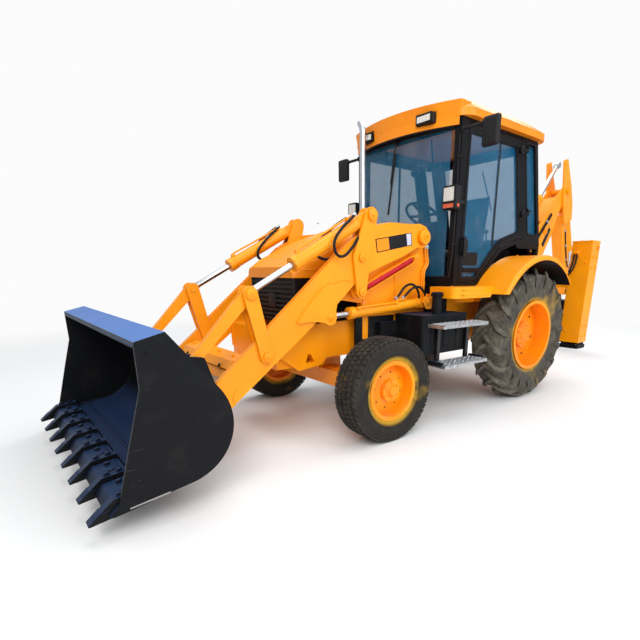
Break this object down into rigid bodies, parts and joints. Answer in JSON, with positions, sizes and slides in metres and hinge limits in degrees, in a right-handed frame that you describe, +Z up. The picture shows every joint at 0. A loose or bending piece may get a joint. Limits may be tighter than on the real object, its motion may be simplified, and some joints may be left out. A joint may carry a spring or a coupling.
{
  "type": "backhoe loader",
  "caption": "Backhoe loader: wheeled machine with a cab, front loader arms with a wide toothed bucket, and a side-shifting rear boom, dipper and digging bucket.",
  "frame": {"origin": "middle of the footprint, on the ground", "axes": "+X forward along the machine, +Y to its left, +Z up"},
  "size_m": [8.386, 2.32, 3.0904],
  "materials": {
    "loader_paint": "gloss orange-yellow paint",
    "black_paint": "satin black paint",
    "chrome": "polished",
    "zinc": "zinc plated",
    "tyre": "dusty rubber",
    "rim_paint": "paint, dusty",
    "glass": "clear",
    "red_paint": "gloss red paint",
    "bare_steel": "bright steel tube",
    "seat_fabric": "woven",
    "black_plastic": "moulded"
  },
  "bodies": {
    "machine": {"chassis": "loader_paint", "axles": "loader_paint", "engine": "black_paint", "grille": "black_paint", "cab_frame": "black_paint", "cab_glass": "glass", "cab_roof": "loader_paint", "fenders_and_sills": "loader_paint", "side_tanks": "black_plastic", "steps": "zinc", "exhaust_stack": "bare_steel", "consoles": "black_plastic", "seat_pads": "seat_fabric", "mirrors_and_lamps": "black_plastic", "rear_frame": "loader_paint"},
    "door_left": {"door_left": "black_paint", "door_glass_left": "glass"},
    "knuckle_left": {"knuckle_left": "loader_paint"},
    "front_wheel_left": {"front_tyre_left": "tyre", "front_rim_left": "rim_paint"},
    "rear_wheel_left": {"rear_tyre_left": "tyre", "rear_rim_left": "rim_paint"},
    "stabiliser_left": {"stabiliser_left": "black_paint"},
    "door_right": {"door_right": "black_paint", "door_glass_right": "glass"},
    "knuckle_right": {"knuckle_right": "loader_paint"},
    "front_wheel_right": {"front_tyre_right": "tyre", "front_rim_right": "rim_paint"},
    "rear_wheel_right": {"rear_tyre_right": "tyre", "rear_rim_right": "rim_paint"},
    "stabiliser_right": {"stabiliser_right": "black_paint"},
    "bonnet": {"bonnet": "loader_paint"},
    "loader_arms": {"loader_arms": "loader_paint"},
    "rear_levers": {"rear_levers": "loader_paint"},
    "tilt_barrels": {"tilt_barrels": "loader_paint"},
    "tilt_rods": {"tilt_rods": "chrome"},
    "lever_pins": {"lever_pins": "zinc"},
    "front_levers": {"front_levers": "loader_paint"},
    "link_pins": {"link_pins": "zinc"},
    "tipping_links": {"tipping_links": "loader_paint"},
    "bucket_pins": {"bucket_pins": "zinc"},
    "loader_bucket": {"loader_bucket": "black_paint"},
    "lift_barrels": {"lift_barrels": "loader_paint"},
    "lift_rods": {"lift_rods": "chrome"},
    "shift_carriage": {"shift_carriage": "loader_paint"},
    "kingpost": {"kingpost": "loader_paint"},
    "boom": {"boom": "loader_paint"},
    "boom_barrel": {"boom_barrel": "loader_paint"},
    "boom_rod": {"boom_rod": "chrome"},
    "dipper": {"dipper": "loader_paint"},
    "dipper_barrel": {"dipper_barrel": "loader_paint"},
    "dipper_rod": {"dipper_rod": "chrome"},
    "crowd_barrel": {"crowd_barrel": "loader_paint"},
    "crowd_rod": {"crowd_rod": "chrome"},
    "bucket_lever": {"bucket_lever": "loader_paint"},
    "bucket_link": {"bucket_link": "loader_paint"},
    "backhoe_bucket": {"backhoe_bucket": "black_paint"},
    "levelling_links": {"levelling_links": "loader_paint", "safety_strut": "red_paint"}
  },
  "joints": [
    {"name": "steer_left", "type": "hinge", "parent": "machine", "child": "knuckle_left", "pos_m": [1.925, 0.745, 0.437], "axis": [0, 0, 1], "range_deg": [-30, 30]},
    {"name": "front_wheel_left_spin", "type": "hinge", "parent": "knuckle_left", "child": "front_wheel_left", "pos_m": [1.925, 0.93, 0.44], "axis": [0, 1, 0], "continuous": true},
    {"name": "rear_wheel_left_spin", "type": "hinge", "parent": "machine", "child": "rear_wheel_left", "pos_m": [-0.245, 0.85, 0.715], "axis": [0, 1, 0], "continuous": true},
    {"name": "steer_right", "type": "hinge", "parent": "machine", "child": "knuckle_right", "pos_m": [1.925, -0.745, 0.437], "axis": [0, 0, 1], "range_deg": [-30.5, 30.5]},
    {"name": "front_wheel_right_spin", "type": "hinge", "parent": "knuckle_right", "child": "front_wheel_right", "pos_m": [1.925, -0.93, 0.44], "axis": [0, 1, 0], "continuous": true},
    {"name": "rear_wheel_right_spin", "type": "hinge", "parent": "machine", "child": "rear_wheel_right", "pos_m": [-0.245, -0.85, 0.715], "axis": [0, 1, 0], "continuous": true},
    {"name": "door_left_hinge", "type": "hinge", "parent": "machine", "child": "door_left", "pos_m": [-0.3274, 0.762, 1.89], "axis": [0.2114, 0, 0.9774], "range_deg": [0, 80]},
    {"name": "door_right_hinge", "type": "hinge", "parent": "machine", "child": "door_right", "pos_m": [-0.3274, -0.762, 1.89], "axis": [-0.2114, 0, -0.9774], "range_deg": [0, 80]},
    {"name": "bonnet_hinge", "type": "hinge", "parent": "machine", "child": "bonnet", "pos_m": [1.005, 0, 1.83], "axis": [0, -1, 0], "range_deg": [0, 45]},
    {"name": "loader_lift", "type": "hinge", "parent": "machine", "child": "loader_arms", "pos_m": [1.155, 0, 1.69], "axis": [0, -1, 0], "range_deg": [-4, 68]},
    {"name": "bucket_tilt", "type": "hinge", "parent": "bucket_pins", "child": "loader_bucket", "pos_m": [3.255, 0, 0.43], "axis": [0, 1, 0], "range_deg": [-32, 72]},
    {"name": "rear_lever_turn", "type": "hinge", "parent": "loader_arms", "child": "rear_levers", "pos_m": [1.905, 0, 1.496], "axis": [0, -1, 0], "range_deg": [-43.55, 3.03]},
    {"name": "levelling_link_turn", "type": "hinge", "parent": "rear_levers", "child": "levelling_links", "pos_m": [1.905, 0, 1.22], "axis": [0, -1, 0], "range_deg": [-3.19, 46.28]},
    {"name": "tilt_barrel_turn", "type": "hinge", "parent": "rear_levers", "child": "tilt_barrels", "pos_m": [1.8, 0, 1.83], "axis": [0, -1, 0], "range_deg": [-2.76, 38.85]},
    {"name": "lever_pin_turn", "type": "hinge", "parent": "loader_arms", "child": "lever_pins", "pos_m": [2.831, 0, 0.77], "axis": [0, -1, 0], "range_deg": [-27.81, 2.11]},
    {"name": "bucket_pin_turn", "type": "hinge", "parent": "loader_arms", "child": "bucket_pins", "pos_m": [3.255, 0, 0.43], "axis": [0, -1, 0], "range_deg": [-33.15, 2.42]},
    {"name": "lift_barrel_turn", "type": "hinge", "parent": "machine", "child": "lift_barrels", "pos_m": [1.065, 0, 1.105], "axis": [0, -1, 0], "range_deg": [-3.75, 55.77]},
    {"name": "lift_rod_slide", "type": "slide", "parent": "lift_barrels", "child": "lift_rods", "axis": [0.998, 0, -0.064], "range_m": [-0.0371, 0.5981]},
    {"name": "front_lever_turn", "type": "hinge", "parent": "lever_pins", "child": "front_levers", "pos_m": [2.831, 0, 0.77], "axis": [0, 1, 0], "range_deg": [-26.61, 59.25]},
    {"name": "link_pin_turn", "type": "hinge", "parent": "front_levers", "child": "link_pins", "pos_m": [2.93, 0, 1.233], "axis": [0, -1, 0], "range_deg": [-1.89, 24.21]},
    {"name": "tipping_link_turn", "type": "hinge", "parent": "link_pins", "child": "tipping_links", "pos_m": [2.93, 0, 1.233], "axis": [0, 1, 0], "range_deg": [-50.25, 22.61]},
    {"name": "tilt_rod_slide", "type": "slide", "parent": "tilt_barrels", "child": "tilt_rods", "axis": [0.8842, 0, -0.4671], "range_m": [-0.2073, 0.4639]},
    {"name": "side_shift", "type": "slide", "parent": "machine", "child": "shift_carriage", "axis": [0, 1, 0], "range_m": [-0.12, 0.98]},
    {"name": "swing", "type": "hinge", "parent": "shift_carriage", "child": "kingpost", "pos_m": [-1.605, -0.43, 0.78], "axis": [0, 0, -1], "range_deg": [-90, 90]},
    {"name": "boom_raise", "type": "hinge", "parent": "kingpost", "child": "boom", "pos_m": [-1.825, -0.43, 0.78], "axis": [0, -1, 0], "range_deg": [-20, 78]},
    {"name": "boom_barrel_turn", "type": "hinge", "parent": "kingpost", "child": "boom_barrel", "pos_m": [-1.79, -0.43, 1.33], "axis": [0, -1, 0], "range_deg": [-20.87, 79.96]},
    {"name": "boom_rod_slide", "type": "slide", "parent": "boom_barrel", "child": "boom_rod", "axis": [-0.7893, 0, 0.614], "range_m": [-0.1591, 0.6146]},
    {"name": "dipper_reach", "type": "hinge", "parent": "boom", "child": "dipper", "pos_m": [-3.175, -0.43, 2.64], "axis": [0, 1, 0], "range_deg": [-20, 100]},
    {"name": "dipper_barrel_turn", "type": "hinge", "parent": "boom", "child": "dipper_barrel", "pos_m": [-1.98947, -0.43, 1.7727], "axis": [0, -1, 0], "range_deg": [-1.4, 4.98]},
    {"name": "dipper_rod_slide", "type": "slide", "parent": "dipper_barrel", "child": "dipper_rod", "axis": [-0.646, 0, 0.7634], "range_m": [-0.5654, 0.1147]},
    {"name": "bucket_curl", "type": "hinge", "parent": "dipper", "child": "backhoe_bucket", "pos_m": [-3.725, -0.43, 1.08], "axis": [0, -1, 0], "range_deg": [-38, 95]},
    {"name": "bucket_lever_turn", "type": "hinge", "parent": "dipper", "child": "bucket_lever", "pos_m": [-3.64051, -0.43, 1.31966], "axis": [0, -1, 0], "range_deg": [-21.22, 52.31]},
    {"name": "bucket_link_turn", "type": "hinge", "parent": "bucket_lever", "child": "bucket_link", "pos_m": [-3.965, -0.43, 1.42], "axis": [0, -1, 0], "range_deg": [-38.41, 15.66]},
    {"name": "crowd_barrel_turn", "type": "hinge", "parent": "dipper", "child": "crowd_barrel", "pos_m": [-3.5011, -0.43, 2.43687], "axis": [0, -1, 0], "range_deg": [-2.71, 6.03]},
    {"name": "crowd_rod_slide", "type": "slide", "parent": "crowd_barrel", "child": "crowd_rod", "axis": [-0.4151, 0, -0.9098], "range_m": [-0.1121, 0.2772]},
    {"name": "stabiliser_left_lower", "type": "slide", "parent": "machine", "child": "stabiliser_left", "axis": [0, 0, -1], "range_m": [0, 0.47]},
    {"name": "stabiliser_right_lower", "type": "slide", "parent": "machine", "child": "stabiliser_right", "axis": [0, 0, -1], "range_m": [0, 0.47]}
  ],
  "couplings": [
    {"joint": "steer_right", "follows": "steer_left", "ratio": 1},
    {"joint": "rear_lever_turn", "follows": "loader_lift", "ratio": -0.63302},
    {"joint": "levelling_link_turn", "follows": "loader_lift", "ratio": 0.67317},
    {"joint": "tilt_barrel_turn", "follows": "loader_lift", "ratio": 0.56394},
    {"joint": "lever_pin_turn", "follows": "loader_lift", "ratio": -0.40164},
    {"joint": "bucket_pin_turn", "follows": "loader_lift", "ratio": -0.48017},
    {"joint": "lift_barrel_turn", "follows": "loader_lift", "ratio": 0.81275},
    {"joint": "lift_rod_slide", "follows": "loader_lift", "m_per_rad": 0.50229},
    {"joint": "front_lever_turn", "follows": "bucket_tilt", "ratio": 0.81596},
    {"joint": "link_pin_turn", "follows": "loader_lift", "ratio": 0.34871},
    {"joint": "tipping_link_turn", "follows": "bucket_tilt", "ratio": -0.6909},
    {"joint": "tilt_rod_slide", "follows": "bucket_tilt", "m_per_rad": 0.3676},
    {"joint": "boom_barrel_turn", "follows": "boom_raise", "ratio": 1.0187},
    {"joint": "boom_rod_slide", "follows": "boom_raise", "m_per_rad": 0.45},
    {"joint": "dipper_barrel_turn", "follows": "dipper_reach", "ratio": 0.04484},
    {"joint": "dipper_rod_slide", "follows": "dipper_reach", "m_per_rad": -0.32279},
    {"joint": "bucket_lever_turn", "follows": "bucket_curl", "ratio": 0.54533},
    {"joint": "bucket_link_turn", "follows": "bucket_curl", "ratio": -0.39906},
    {"joint": "crowd_barrel_turn", "follows": "bucket_curl", "ratio": 0.05823},
    {"joint": "crowd_rod_slide", "follows": "bucket_curl", "m_per_rad": 0.16595}
  ]
}
